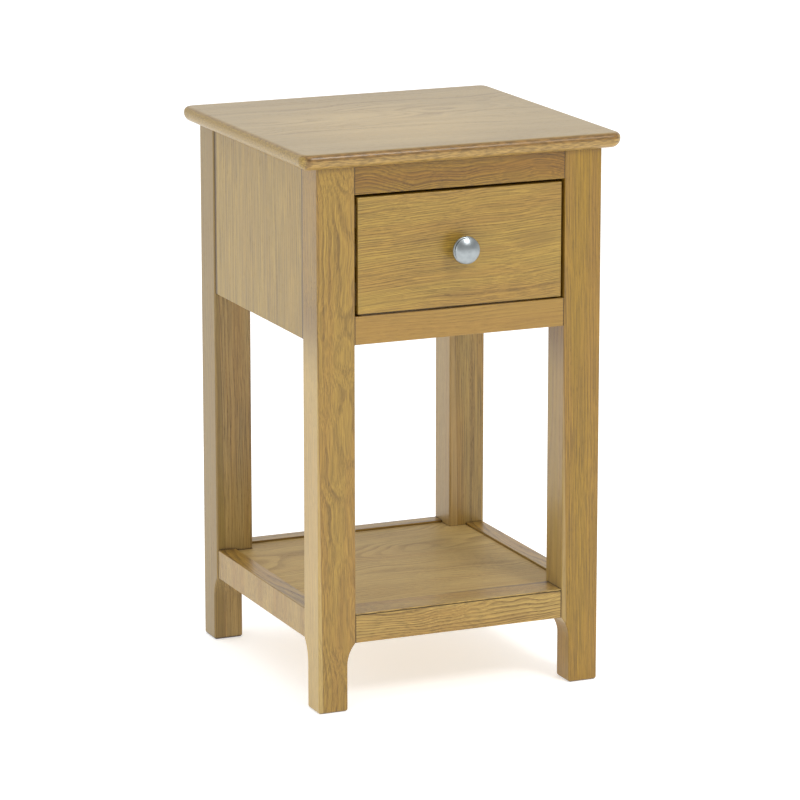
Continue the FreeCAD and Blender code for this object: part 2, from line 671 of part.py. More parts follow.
def make_shelf_member(name, wide, length, quirk):
    # along X with its outer face at y = 0, looking towards -Y
    member = new_body(name)
    pad(member, "member", "YZ_Plane", [shelf_section(wide, quirk)], length, midplane=True)
    if not quirk:
        round_edges(member, "arris", lambda edge: box_lines(edge, "x") and edge.BoundBox.YMax < NEAR)
    dowels = [("shelf_dowel_line", "dowel_inset"), ("shelf_dowel_line", f"{SHELF_TALL} - dowel_inset")]
    holes = drill(member, "dowels", "YZ_Plane", dowels, "dowel_radius", "dowel_reach", f"{length} / 2", -1)
    mirror(member, [holes], "YZ_Plane")
    return finish(member)


def make_shelf_frame():
    front = make_shelf_member("shelf_rail_front", "shelf_front_wide", BETWEEN_LEGS_X, True)
    place(front, "0", "front_y + setback", "shelf_foot")
    rear = make_shelf_member("shelf_rail_rear", "shelf_rear_wide", BETWEEN_LEGS_X, False)
    about_face = FreeCAD.Rotation(FreeCAD.Vector(0, 0, 1), 180)
    place(rear, "0", "front_y + frame_depth - setback", "shelf_foot", about_face)
    for name, side in (("shelf_rail_left", LEFT), ("shelf_rail_right", RIGHT)):
        member = make_shelf_member(name, "shelf_side_wide", BETWEEN_LEGS_Y, False)
        turned = FreeCAD.Rotation(FreeCAD.Vector(0, 0, 1), 90 * side)
        place(member, f"{side} * (frame_width / 2 - setback)", MIDDLE_Y, "shelf_foot", turned)


def shelf_opening(reach):
    # the space between the frame members and round the legs, widened under the members by reach
    wide = f"(frame_width / 2 - setback - shelf_side_wide + {reach})"
    front = f"(front_y + setback + shelf_front_wide - {reach})"
    rear = f"(front_y + frame_depth - setback - shelf_rear_wide + {reach})"
    half = [
        (INNER_X, front), (INNER_X, INNER_FRONT_Y), (wide, INNER_FRONT_Y),
        (wide, INNER_REAR_Y), (INNER_X, INNER_REAR_Y), (INNER_X, rear),
    ]
    return half + [(f"0 - {x}", y) for x, y in reversed(half)]


def make_shelf_panel():
    panel = new_body("shelf_panel")
    pad(panel, "tongues", "XY_Plane", [shelf_opening("shelf_groove")], TONGUE_THICK)
    pad(panel, "face", "XY_Plane", [shelf_opening("(0 - shelf_panel_gap)")], "shelf_panel_thick")
    place(panel, "0", "0", "shelf_head - shelf_panel_sink - shelf_panel_thick")
    return finish(panel)


# ---- the drawer ----

FRONT_TAILS = [f"(drawer_front_foot + drawer_front_tall * {step} / 6)" for step in (1, 3, 5)]
BACK_TALL = "(drawer_back_head - drawer_floor_head)"
BACK_TAILS = [f"(drawer_floor_head + {BACK_TALL} * {step} / 6)" for step in (1, 3, 5)]
BACK_Y = "(drawer_length - drawer_side_thick)"
FLOOR_SCREW_X = [f"{step} * drawer_width / 3" for step in (-1, 0, 1)]
BLOCK_SCREW_X = ["0 - block_wide / 4", "block_wide / 4"]
BLOCK_SCREW_Z = "((block_foot + drawer_back_head) / 2)"


def tail(middle, half, shoulder_y, tip_y, ascending=True):
    # a dovetail in side view, from its shoulder to its wider tip
    low = [(shoulder_y, f"{middle} - {half}"), (tip_y, f"{middle} - {half} - tail_flare")]
    high = [(tip_y, f"{middle} + {half} + tail_flare"), (shoulder_y, f"{middle} + {half}")]
    corners = low + high
    return corners if ascending else corners[::-1]


def make_drawer_front():
    front = new_body("drawer_front")
    half = "drawer_width / 2"
    section = rectangle(f"0 - {half}", "0", half, "drawer_front_thick")
    pad(front, "board", "XY_Plane", [section], "drawer_front_tall")
    round_edges(front, "arris", lambda edge: edge.BoundBox.YMax < NEAR)
    sockets = []
    for z in FRONT_TAILS:
        sockets.append(tail(f"{z} - drawer_front_foot", "tail_half", "drawer_front_thick", "lap"))
    cuts = pocket(front, "sockets", "YZ_Plane", sockets, "drawer_side_thick", half, -1)
    mirror(front, [cuts], "YZ_Plane")
    groove_half = f"({half} - drawer_side_thick + drawer_groove)"
    head = "(drawer_floor_head - drawer_front_foot)"
    groove = rectangle(f"0 - {groove_half}", f"{head} - drawer_floor_thick", groove_half, head)
    pocket(front, "groove", "XZ_Plane", [groove], "drawer_groove", "drawer_front_thick", -1)
    middle = [("0", "drawer_front_tall / 2")]
    drill(front, "knob_hole", "XZ_Plane", middle, SCREW_HOLE, "drawer_front_thick", "0", 1)
    place(front, "0", DRAWER_Y, "drawer_front_foot")
    return finish(front)


def make_drawer_side(name, side):
    board = new_body(name)
    foot = DRAWER_SIDE_FOOT
    outline = [("drawer_front_thick", "0")]
    for z in FRONT_TAILS:
        outline += tail(f"{z} - {foot}", "tail_half", "drawer_front_thick", "lap")
    outline += [
        ("drawer_front_thick", f"drawer_side_head - {foot}"),
        ("drawer_length", f"drawer_side_head - {foot}"),
        ("drawer_length", f"drawer_back_head - {foot}"),
        (BACK_Y, f"drawer_back_head - {foot}"),
    ]
    for z in reversed(BACK_TAILS):
        outline += tail(f"{z} - {foot}", "back_tail_half", BACK_Y, "drawer_length", ascending=False)
    outline += [
        (BACK_Y, f"drawer_floor_head - {foot}"),
        ("drawer_length", f"drawer_floor_head - {foot}"),
        ("drawer_length", "0"),
    ]
    pad(board, "board", "YZ_Plane", [outline], "drawer_side_thick", midplane=True)
    inner = f"{-side} * drawer_side_thick / 2"
    deep = f"{-side} * (drawer_side_thick / 2 - drawer_groove)"
    head = f"(drawer_floor_head - {foot})"
    groove = rectangle(deep, f"{head} - drawer_floor_thick", inner, head)
    pocket(board, "groove", "XZ_Plane", [groove], "drawer_length", "0", 1)
    place(board, f"{side} * (drawer_width / 2 - drawer_side_thick / 2)", DRAWER_Y, foot)
    return finish(board)


def make_drawer_back():
    back = new_body("drawer_back")
    half = "drawer_width / 2"
    section = rectangle(f"0 - {half}", "0", half, "drawer_side_thick")
    pad(back, "board", "XY_Plane", [section], BACK_TALL)
    sockets = []
    for z in BACK_TAILS:
        sockets.append(tail(f"{z} - drawer_floor_head", "back_tail_half", "0", "drawer_side_thick"))
    cuts = pocket(back, "sockets", "YZ_Plane", sockets, "drawer_side_thick", half, -1)
    mirror(back, [cuts], "YZ_Plane")
    depth = "small_screw_long - drawer_floor_thick + pilot_spare"
    centres = [(x, "drawer_side_thick / 2") for x in FLOOR_SCREW_X]
    drill(back, "floor_pilots", "XY_Plane", centres, SMALL_HOLE, depth, "0", 1)
    centres = [(x, f"{BLOCK_SCREW_Z} - drawer_floor_head") for x in BLOCK_SCREW_X]
    depth = "small_screw_long - block_thick + pilot_spare"
    drill(back, "block_pilots", "XZ_Plane", centres, SMALL_HOLE, depth, "0", 1)
    place(back, "0", f"{DRAWER_Y} + {BACK_Y}", "drawer_floor_head")
    return finish(back)


def make_drawer_bottom():
    floor = new_body("drawer_bottom")
    half = "(drawer_width / 2 - drawer_side_thick + drawer_groove - floor_gap)"
    front = "(drawer_front_thick - drawer_groove + floor_gap)"
    section = rectangle(f"0 - {half}", front, half, "drawer_length")
    pad(floor, "board", "XY_Plane", [section], "drawer_floor_thick")
    centres = [(x, f"{BACK_Y} + drawer_side_thick / 2") for x in FLOOR_SCREW_X]
    drill(floor, "screw_holes", "XY_Plane", centres, SMALL_HOLE, "drawer_floor_thick", "0", 1)
    place(floor, "0", DRAWER_Y, "drawer_floor_head - drawer_floor_thick")
    return finish(floor)


def make_pull_out_stop():
    block = new_body("pull_out_stop")
    half = "block_wide / 2"
    section = rectangle(f"0 - {half}", "0", half, "block_thick")
    pad(block, "board", "XY_Plane", [section], "block_tall")
    centres = [(x, f"{BLOCK_SCREW_Z} - block_foot") for x in BLOCK_SCREW_X]
    drill(block, "screw_holes", "XZ_Plane", centres, SMALL_HOLE, "block_thick", "0", 1)
    place(block, "0", f"{DRAWER_Y} + {BACK_Y} - block_thick", "block_foot")
    return finish(block)


CROWN_FOOT = "(knob_reach - crown_rise - crown_lip)"
FLANGE_HEAD = f"({CROWN_FOOT} - knob_groove)"
FLANGE_FOOT = f"({FLANGE_HEAD} - knob_flange)"


def make_knob():
    # turned about its own axis: foot, waisted neck, flat flange, groove and low crown
    knob = new_body("knob")
    sketch = new_sketch(knob, "profile", "XZ_Plane", "0")
    crown_edge = "(crown_radius - crown_lip)"
    crown_curve = f"({crown_edge} ^ 2 + crown_rise ^ 2) / (2 * crown_rise)"
    groove_foot = "(crown_radius - knob_groove_deep)"
    draw_outline(sketch, [
        ("0", "knob_reach", crown_curve, -1),
        (crown_edge, "knob_reach - crown_rise"),
        ("crown_radius", CROWN_FOOT),
        (groove_foot, f"{CROWN_FOOT} - knob_groove_slope"),
        (groove_foot, f"{FLANGE_HEAD} + knob_groove_slope"),
        ("knob_radius - knob_flange_round", FLANGE_HEAD, "knob_flange_round", -1),
        ("knob_radius", f"{FLANGE_HEAD} - knob_flange_round"),
        ("knob_radius", f"{FLANGE_FOOT} + knob_back_round", "knob_back_round", -1),
        ("knob_radius - knob_back_round", FLANGE_FOOT),
        ("knob_neck_radius", f"{FLANGE_FOOT} - knob_neck_drop", "knob_neck_radius", 1),
        ("knob_waist_radius", "knob_waist_height", "knob_radius", 1),
        ("knob_foot_radius", "knob_foot_tall"),
        ("knob_foot_radius", "0"),
        (SCREW_HOLE, "0"),
        (SCREW_HOLE, "knob_bore"),
        ("0", "knob_bore"),
    ])
    turned = knob.newObject("PartDesign::Revolution", "knob_turned")
    turned.Profile = sketch
    turned.ReferenceAxis = (sketch, ["V_Axis"])
    turned.Angle = 360
    doc.recompute()
    place(knob, "0", DRAWER_Y, KNOB_Z, BACKWARD)
    return finish(knob)


# ---- groups of fasteners ----

def make_dowel_groups():
    dowel = make_dowel()
    along_x = FreeCAD.Rotation(FreeCAD.Vector(0, 1, 0), 90)
    along_y = FreeCAD.Rotation(FreeCAD.Vector(1, 0, 0), 90)
    front_rails = []
    back = []
    sides = []
    shelf = []
    for side in (LEFT, RIGHT):
        face_x = f"{side} * {INNER_X}"
        for z in NARROW_Z["top"] + NARROW_Z["lower"]:
            front_rails.append((face_x, f"front_y + {FRONT_DOWEL_Y}", z, along_x))
        for z in PANEL_Z:
            back.append((face_x, f"front_y + frame_depth - {PANEL_DOWEL_IN}", z, along_x))
            for face_y in (INNER_FRONT_Y, INNER_REAR_Y):
                sides.append((f"{side} * (frame_width / 2 - {PANEL_DOWEL_IN})", face_y, z, along_y))
        for z in NARROW_Z["shelf"]:
            shelf.append((face_x, f"front_y + {SHELF_DOWEL_IN}", z, along_x))
            shelf.append((face_x, f"front_y + frame_depth - {SHELF_DOWEL_IN}", z, along_x))
            for face_y in (INNER_FRONT_Y, INNER_REAR_Y):
                shelf.append((f"{side} * (frame_width / 2 - {SHELF_DOWEL_IN})", face_y, z, along_y))
    group_of("dowels_front_rails", dowel, front_rails)
    group_of("dowels_side_panels", dowel, sides)
    group_of("dowels_back_panel", dowel, back)
    group_of("dowels_shelf_frame", dowel, shelf)


def make_screw_groups():
    wood = make_screw("wood_screw_model", "screw_radius", "screw_head_radius", "screw_head_tall",
                      "screw_long", True)
    small = make_screw("small_screw_model", "small_screw_radius", "small_head_radius", "small_head_tall",
                       "small_screw_long", True)
    seat_z = f"{TOP_UNDERSIDE} - screw_hold"
    group_of("tabletop_screws", wood, [(x, y, seat_z, UP) for x, y in top_screw_points()])
    outward = {LEFT: LEFTWARD, RIGHT: RIGHTWARD}
    seat_x = f"({PANEL_INNER_X} - screw_hold)"
    kickers = []
    guides = []
    for side in (LEFT, RIGHT):
        kickers += [(f"{side} * {seat_x}", y, KICKER_SIDE_Z, outward[side]) for y in KICKER_SIDE_Y]
        guides += [(f"{side} * {seat_x}", y, GUIDE_SCREW_Z, outward[side]) for y in GUIDE_SCREW_Y]
    group_of("kicker_screws", wood, kickers)
    group_of("guide_screws", wood, guides)
    floor_z = "drawer_floor_head - drawer_floor_thick"
    floor_y = f"{DRAWER_Y} + {BACK_Y} + drawer_side_thick / 2"
    group_of("drawer_bottom_screws", small, [(x, floor_y, floor_z, UP) for x in FLOOR_SCREW_X])
    block_y = f"{DRAWER_Y} + {BACK_Y} - block_thick"
    block = [(x, block_y, BLOCK_SCREW_Z, BACKWARD) for x in BLOCK_SCREW_X]
    group_of("pull_out_stop_screws", small, block)


def make_knob_screw():
    long = "(drawer_front_thick + knob_bore - pilot_spare)"
    screw = make_screw("knob_screw", "screw_radius", "screw_head_radius", "screw_head_tall", long, False)
    place(screw, "0", f"{DRAWER_Y} + drawer_front_thick", KNOB_Z, FORWARD)
    return finish(screw)


# ---- build, check, write ----

def build_all():
    make_tabletop()
    for name, side, end in (
        ("leg_front_left", LEFT, FRONT),
        ("leg_front_right", RIGHT, FRONT),
        ("leg_rear_left", LEFT, REAR),
        ("leg_rear_right", RIGHT, REAR),
    ):
        make_leg(name, side, end)
    make_front_rails()
    make_back_panel()
    for word, side in (("left", LEFT), ("right", RIGHT)):
        make_side_panel(f"side_panel_{word}", side)
        make_runner(f"drawer_runner_{word}", side)
        make_guide(f"drawer_guide_{word}", side)
        make_kicker(f"kicker_{word}", side)
        make_drawer_stop(f"drawer_stop_{word}", side)
        make_drawer_side(f"drawer_side_{word}", side)
    make_cross_batten("stop_rail", "stop_rail", "stop_rail_thick", "stop_rail_tall")
    make_cross_batten("back_cleat", "cleat", "cleat_size", "cleat_size")
    make_shelf_frame()
    make_shelf_panel()
    make_drawer_front()
    make_drawer_back()
    make_drawer_bottom()
    make_pull_out_stop()
    make_knob()
    make_knob_screw()
    make_dowel_groups()
    make_screw_groups()
    doc.recompute()


def check_all():
    for thing in doc.Objects:
        if "Invalid" in thing.State or "Error" in thing.State:
            raise RuntimeError(f"{thing.Name} is {thing.State}")
    for piece in sub_parts:
        if piece.Shape.isNull() or not piece.Shape.isValid():
            raise RuntimeError(f"{piece.Label} has no valid shape")


def write_all():
    os.makedirs("parts", exist_ok=True)
    whole = FreeCAD.BoundBox()
    for piece in sub_parts:
        piece.Shape.exportStep(f"parts/{piece.Label}.step")
        whole.add(piece.Shape.BoundBox)
    print(f"{len(sub_parts)} sub-parts, whole outline {whole}")


fill_sheet()
build_all()
check_all()
write_all()
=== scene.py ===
import math

import bmesh
import bpy
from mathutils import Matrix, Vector


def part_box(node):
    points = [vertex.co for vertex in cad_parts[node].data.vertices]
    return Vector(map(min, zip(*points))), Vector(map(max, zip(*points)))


# Oak bedside table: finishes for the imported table, a studio floor, lights and the camera.

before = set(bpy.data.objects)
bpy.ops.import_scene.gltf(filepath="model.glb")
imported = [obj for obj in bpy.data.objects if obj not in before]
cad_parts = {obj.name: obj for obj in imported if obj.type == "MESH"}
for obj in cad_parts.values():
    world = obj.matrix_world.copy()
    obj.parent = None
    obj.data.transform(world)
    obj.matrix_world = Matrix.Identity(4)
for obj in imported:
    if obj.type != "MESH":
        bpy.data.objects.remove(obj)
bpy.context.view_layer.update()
mm = 0.001
print("table loaded:", len(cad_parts), "nodes")


# Shader helpers

def addNode(tree, kind, feeds=None, out=0, **choices):
    # feeds: input name or number -> a value or another node's output
    made = tree.nodes.new("ShaderNode" + kind)
    for name, choice in choices.items():
        setattr(made, name, choice)
    for place, feed in (feeds or {}).items():
        if isinstance(feed, bpy.types.NodeSocket):
            tree.links.new(feed, made.inputs[place])
        else:
            made.inputs[place].default_value = feed
    return made.outputs[out]


def calc(tree, operation, *values):
    return addNode(tree, "Math", dict(enumerate(values)), operation=operation)


def vectorCalc(tree, operation, *values):
    return addNode(tree, "VectorMath", dict(enumerate(values)), operation=operation)


def stretch(tree, spot, sizes):
    # one step of the pattern is this many mm across, through and along the grain
    return vectorCalc(tree, "MULTIPLY", spot, tuple(1 / size for size in sizes))


def cloud(tree, spot, sizes, detail=2.0, rough=0.5, out=0):
    return addNode(tree, "TexNoise", {"Vector": stretch(tree, spot, sizes), "Scale": 1.0,
                                      "Detail": detail, "Roughness": rough}, out=out)


def fade(tree, amount, low, high, to=(0.0, 1.0)):
    feeds = {"Value": amount, "From Min": low, "From Max": high, "To Min": to[0], "To Max": to[1]}
    return addNode(tree, "MapRange", feeds, interpolation_type="SMOOTHSTEP")


def blendColour(tree, amount, under, over, blend="MIX"):
    return addNode(tree, "Mix", {0: amount, 6: under, 7: over}, out=2, data_type="RGBA", blend_type=blend)


def colour(red, green, blue):
    return (red, green, blue, 1.0)


# Oak and the other woods

# what all oak shares: sizes are mm across, through and along the grain, and each pair named
# From holds the two ends of a fade
oakFigure = {
    "seedStep": (310.0, 170.0, 730.0),  # mm between the places of two boards in the tree
    "slowWide": 110,           # mm across the grain for one slow swing of the rings
    "quick": (14, 14, 100),    # one quick swing
    "years": 3.7,              # rings between one run of wide years and the next
    "yearsSwing": 2.6,         # rings that such a run moves the others by
    "earlyStart": (0.0, 0.12),  # part of a ring over which the coarse early wood starts
    "earlyEnd": (0.72, 0.14),  # and over which it ends
    "strong": (34, 34, 150),   # places where the rings stand out
    "strongFrom": (0.32, 0.66),
    "weakest": 0.25,           # strength of the rings between those places
    "fibreLong": 80,
    "fibreFrom": (0.28, 0.72),
    "pore": (0.6, 0.6, 8.0),
    "poreFrom": (0.56, 0.68),
    "poreOutside": 0.2,        # share of the pores that lie outside the early wood
    "poreDark": 0.5,           # colour of a pore, as a share of the ring line's
    "fleck": (2.2, 7.0, 9.0),  # pale rays
    "fleckFrom": (0.62, 0.74),
    "fleckPale": 1.5,
    "tone": (22, 22, 240),     # patches of warmer wood
    "toneFrom": (0.36, 0.66),
    "fibreRough": 0.10,
    "poreRough": 0.20,
    "fibreHigh": 0.25,         # height of the fibres, pores and early wood in the lacquer
    "poreHigh": -0.8,
    "earlyHigh": -0.25,
}
woodDefaults = {
    "grain": "Z",              # the way the board's fibres run
    "pith": (150.0, 45.0),     # heart of the tree from the board's middle, across and through it, mm
    "lean": (0.5, 1.0),        # degrees between the heart and the board
    "ring": 2.7,               # mm between growth rings
    "wander": 12.0,            # mm that the rings swing, slowly
    "wanderLong": 380.0,       # mm along the grain for one swing
    "ripple": 0.4,             # mm that they swing, quickly
    "light": (0.345, 0.215, 0.042),
    "dark": (0.120, 0.058, 0.010),
    "warm": (0.285, 0.148, 0.026),
    "warmth": 0.50,
    "lines": 0.70,             # strength of the ring lines
    "fibre": 0.30,
    "fibreWide": 0.9,          # mm across one bundle of fibres
    "pores": 0.60,
    "flecks": 0.10,
    "cornerShade": 0.80,              # strength of the painted shade darkening corners and joints, where shade falls
    "cornerShadeReach": 2.4,          # mm that the painted shade reaches out of a corner
    "seamWide": 1.3,           # mm of the dark line at each end, where the board meets another: partly the joint's own line, partly painted shade in the gap
    "gloss": 0.36,
    "coat": 0.10,              # weight of the clear lacquer
    "seed": 1.0,
}


def boardSpot(tree, look, middle):
    # the place in the board in mm: across, through and along its grain
    order = {"X": "YZX", "Y": "XZY", "Z": "XYZ"}[look["grain"]]
    place = addNode(tree, "TexCoord", out="Object")
    parts = tree.nodes.new("ShaderNodeSeparateXYZ")
    tree.links.new(vectorCalc(tree, "SUBTRACT", place, tuple(middle)), parts.inputs[0])
    turned = addNode(tree, "CombineXYZ", {step: parts.outputs[letter] for step, letter in enumerate(order)})
    lean = (math.radians(look["lean"][0]), math.radians(look["lean"][1]), 0.0)
    return addNode(tree, "Mapping", {"Vector": turned, "Rotation": lean, "Scale": (1 / mm,) * 3})


def swing(tree, spot, sizes, reach):
    # how far the fibres are pushed aside here, up to reach mm either way
    push = vectorCalc(tree, "SUBTRACT", cloud(tree, spot, sizes, out=1), (0.5,) * 3)
    return vectorCalc(tree, "MULTIPLY", push, (2 * reach, 2 * reach, 0.0))


def growthRings(tree, look, spot):
    # the same place with its fibres bent, and how many rings it is from the heart of the tree
    seeded = vectorCalc(tree, "ADD", spot, tuple(look["seed"] * step for step in oakFigure["seedStep"]))
    slow = (oakFigure["slowWide"], oakFigure["slowWide"], look["wanderLong"])
    push = swing(tree, seeded, slow, look["wander"])
    push = vectorCalc(tree, "ADD", push, swing(tree, seeded, oakFigure["quick"], look["ripple"]))
    fromHeart = vectorCalc(tree, "SUBTRACT", vectorCalc(tree, "ADD", spot, push), (*look["pith"], 0.0))
    flat = vectorCalc(tree, "MULTIPLY", fromHeart, (1.0, 1.0, 0.0))
    radius = addNode(tree, "VectorMath", {0: flat}, out=1, operation="LENGTH")
    count = calc(tree, "DIVIDE", radius, look["ring"])
    turn = calc(tree, "DIVIDE", count, oakFigure["years"])
    years = addNode(tree, "TexNoise", {"W": turn, "Scale": 1.0, "Detail": 1.0}, noise_dimensions="1D")
    count = calc(tree, "MULTIPLY_ADD", years, oakFigure["yearsSwing"], count)
    return seeded, vectorCalc(tree, "ADD", seeded, push), count


def grey(tree, amount):
    return addNode(tree, "CombineColor", {0: amount, 1: amount, 2: amount})


def figure(tree, look, middle):
    # colour, roughness and height of a board of this look
    grown = oakFigure
    spot = boardSpot(tree, look, middle)
    seeded, bent, count = growthRings(tree, look, spot)
    step = calc(tree, "FRACT", count)
    rise = fade(tree, step, *grown["earlyStart"])
    early = calc(tree, "MULTIPLY", rise, fade(tree, step, *grown["earlyEnd"]))
    strong = cloud(tree, seeded, grown["strong"])
    strength = fade(tree, strong, *grown["strongFrom"], (grown["weakest"], 1.0))
    early = calc(tree, "MULTIPLY", early, strength)
    bundle = (look["fibreWide"], look["fibreWide"], grown["fibreLong"])
    fibre = cloud(tree, bent, bundle, detail=3.0, rough=0.6)
    poreField = cloud(tree, bent, grown["pore"], detail=1.0)
    inEarly = calc(tree, "MULTIPLY_ADD", early, 1 - grown["poreOutside"], grown["poreOutside"])
    pore = calc(tree, "MULTIPLY", fade(tree, poreField, *grown["poreFrom"]), inEarly)
    fleck = fade(tree, cloud(tree, bent, grown["fleck"], detail=1.0), *grown["fleckFrom"])
    tone = fade(tree, cloud(tree, seeded, grown["tone"], detail=3.0), *grown["toneFrom"])

    wood = blendColour(tree, calc(tree, "MULTIPLY", tone, look["warmth"]), colour(*look["light"]),
                       colour(*look["warm"]))
    wood = blendColour(tree, calc(tree, "MULTIPLY", early, look["lines"]), wood, colour(*look["dark"]))
    shade = fade(tree, fibre, *grown["fibreFrom"], (1 - look["fibre"], 1 + look["fibre"]))
    wood = blendColour(tree, 1.0, wood, grey(tree, shade), "MULTIPLY")
    pale = colour(*(part * grown["fleckPale"] for part in look["light"]))
    wood = blendColour(tree, calc(tree, "MULTIPLY", fleck, look["flecks"]), wood, pale)
    deep = colour(*(part * grown["poreDark"] for part in look["dark"]))
    wood = blendColour(tree, calc(tree, "MULTIPLY", pore, look["pores"]), wood, deep)

    smooth = look["gloss"] - grown["fibreRough"] / 2
    rough = calc(tree, "MULTIPLY_ADD", fibre, grown["fibreRough"], smooth)
    rough = calc(tree, "MULTIPLY_ADD", pore, grown["poreRough"], rough)
    sunk = calc(tree, "MULTIPLY", pore, grown["poreHigh"])
    height = calc(tree, "MULTIPLY_ADD", fibre, grown["fibreHigh"], sunk)
    return spot, wood, rough, calc(tree, "MULTIPLY_ADD", early, grown["earlyHigh"], height)


edgeLook = {
    "soft": 0.6,               # mm: radius of the softened corners
    # painted highlight: outer edges, where the softened corner bends the normal, painted paler
    "edgeHighlightFrom": (0.995, 0.85),
    "edgeHighlight": (0.56, 0.42, 0.16),
    "edgeHighlightStrength": 0.25,           # strength of the painted highlight on the outer edges
    "shutFrom": (0.80, 0.42),  # openness over which a corner turns to painted shade
    # colour of the painted shade in corners and joints
    "cornerShade": (0.045, 0.024, 0.010),
    "seam": (0.05, 0.026, 0.010),
    "seamDark": 0.85,
    "seamFull": 0.4,           # part of a seam's width that is darkest
}
lacquer = {
    "roughness": 0.16,
    "IOR": 1.5,
    "relief": 0.12,            # mm from the highest fibre to the deepest pore
    "strength": 0.35,
}


def edges(tree, reach):
    # softened corners, a painted highlight on the outer edges, and painted shade in corners and joints
    soft = addNode(tree, "Bevel", {"Radius": edgeLook["soft"] * mm}, samples=4)
    face = addNode(tree, "NewGeometry", out="True Normal")
    turn = addNode(tree, "VectorMath", {0: soft, 1: face}, out=1, operation="DOT_PRODUCT")
    openness = addNode(tree, "AmbientOcclusion", {"Distance": reach * mm}, out="AO", samples=8)
    edgeLit = fade(tree, turn, *edgeLook["edgeHighlightFrom"])
    return soft, edgeLit, fade(tree, openness, *edgeLook["shutFrom"])


def facing(tree, direction, start, full):
    # 0 to 1 as the surface turns towards a direction
    normal = addNode(tree, "TexCoord", out="Normal")
    turn = addNode(tree, "VectorMath", {0: normal, 1: direction}, out=1, operation="DOT_PRODUCT")
    return fade(tree, turn, start, full)


def seamLines(tree, node, way, wood, wide):
    # the thin dark line where the ends of a board meet its neighbours: partly the joint's own dark line,
    # partly painted shade in the gap between them
    low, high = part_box(node)
    letter = "XYZ".index(way)
    place = tree.nodes.new("ShaderNodeSeparateXYZ")
    tree.links.new(addNode(tree, "TexCoord", out="Object"), place.inputs[0])
    away = calc(tree, "SUBTRACT", place.outputs[letter], middleOf(node)[letter])
    half = (high[letter] - low[letter]) / 2
    full = half - edgeLook["seamFull"] * wide * mm
    dark = fade(tree, calc(tree, "ABSOLUTE", away), half - wide * mm, full)
    dark = calc(tree, "MULTIPLY", dark, edgeLook["seamDark"])
    return blendColour(tree, dark, wood, colour(*edgeLook["seam"]))


def lacquered(tree, material, look, wood, rough, height):
    soft, edgeLit, shut = edges(tree, look["cornerShadeReach"])
    # painted highlight on the outer edges
    edgeHighlight = calc(tree, "MULTIPLY", edgeLit, edgeLook["edgeHighlightStrength"])
    wood = blendColour(tree, edgeHighlight, wood, colour(*edgeLook["edgeHighlight"]))
    # painted shade: corners and joints darkened where the surface is shut in
    wood = blendColour(tree, calc(tree, "MULTIPLY", shut, look["cornerShade"]), wood, colour(*edgeLook["cornerShade"]))
    bump = addNode(tree, "Bump", {
        "Strength": lacquer["strength"], "Distance": lacquer["relief"] * mm,
        "Height": height, "Normal": soft,
    })
    surface = addNode(tree, "BsdfPrincipled", {
        "Base Color": wood, "Roughness": rough, "Normal": bump,
        "Coat Weight": look["coat"], "Coat Roughness": lacquer["roughness"], "IOR": lacquer["IOR"],
    })
    end = tree.nodes.new("ShaderNodeOutputMaterial")
    tree.links.new(surface, end.inputs["Surface"])
    return material


def emptyMaterial(name):
    material = bpy.data.materials.new(name)
    material.use_nodes = True
    material.node_tree.nodes.clear()
    return material, material.node_tree


def middleOf(node):
    low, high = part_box(node)
    return (low + high) / 2


def dress(node, material):
    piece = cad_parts[node]
    piece.data.materials.clear()
    piece.data.materials.append(material)


def oak(node, extra=None, seams=None, **changes):
    # a board of oak; extra changes its colour where the board isn't the same all over,
    # and seams is the way to its two ends, where they meet other boards
    look = {**woodDefaults, **changes}
    material, tree = emptyMaterial(node + "Oak")
    spot, wood, rough, height = figure(tree, look, middleOf(node))
    if extra:
        wood = extra(tree, spot, wood)
    if seams:
        wood = seamLines(tree, node, seams, wood, look["seamWide"])
    dress(node, lacquered(tree, material, look, wood, rough, height))


# The top

top = {
    "grain": "X", "pith": (40.0, -150.0), "lean": (0.4, 0.8),
    "ring": 3.4, "wander": 26.0, "wanderLong": 300.0,
    "light": (0.360, 0.252, 0.092), "dark": (0.185, 0.108, 0.028), "warm": (0.305, 0.200, 0.058),
    "lines": 0.55, "fibre": 0.16, "pores": 0.25, "flecks": 0.06, "gloss": 0.34, "coat": 0.06,
    "seed": 3.0,
}
mouldingShading = {                   # colours of the moulded edge by which way it faces, painted shade and painted reflection; each pair named From is how far the surface turns for a fade
    "upper": (0.230, 0.125, 0.030),
    "lower": (0.350, 0.215, 0.056),
    "sides": (0.310, 0.200, 0.046),
    "corner": (0.130, 0.066, 0.016),
    "cornerDark": 0.7,
    "cornerWay": (-0.707, -0.707, 0.0),
    "cornerFrom": (0.62, 0.88),
    "flatFrom": (0.82, 0.99),
    "downFrom": (-0.10, 0.12),
    "sideFrom": (0.35, 0.80),
    "speck": (1.6, 1.6, 9.0),  # mm
    "speckFrom": (0.32, 0.68),
    "speckShade": (0.62, 1.22),
}
paintedSheen = {                 # painted sheen on the face: its palest place and how far it reaches, mm
    "place": (-20.0, 0.0, -25.0),
    "reach": (190, 900, 200),
    "edgeShade": 0.92,
    "gain": 0.22,
}


def nearness(tree, spot, place, sizes):
    # 1 round a place in the board, falling to 0 at sizes mm from it
    away = stretch(tree, vectorCalc(tree, "SUBTRACT", spot, place), sizes)
    return fade(tree, addNode(tree, "VectorMath", {0: away}, out=1, operation="LENGTH"), 1.0, 0.2)


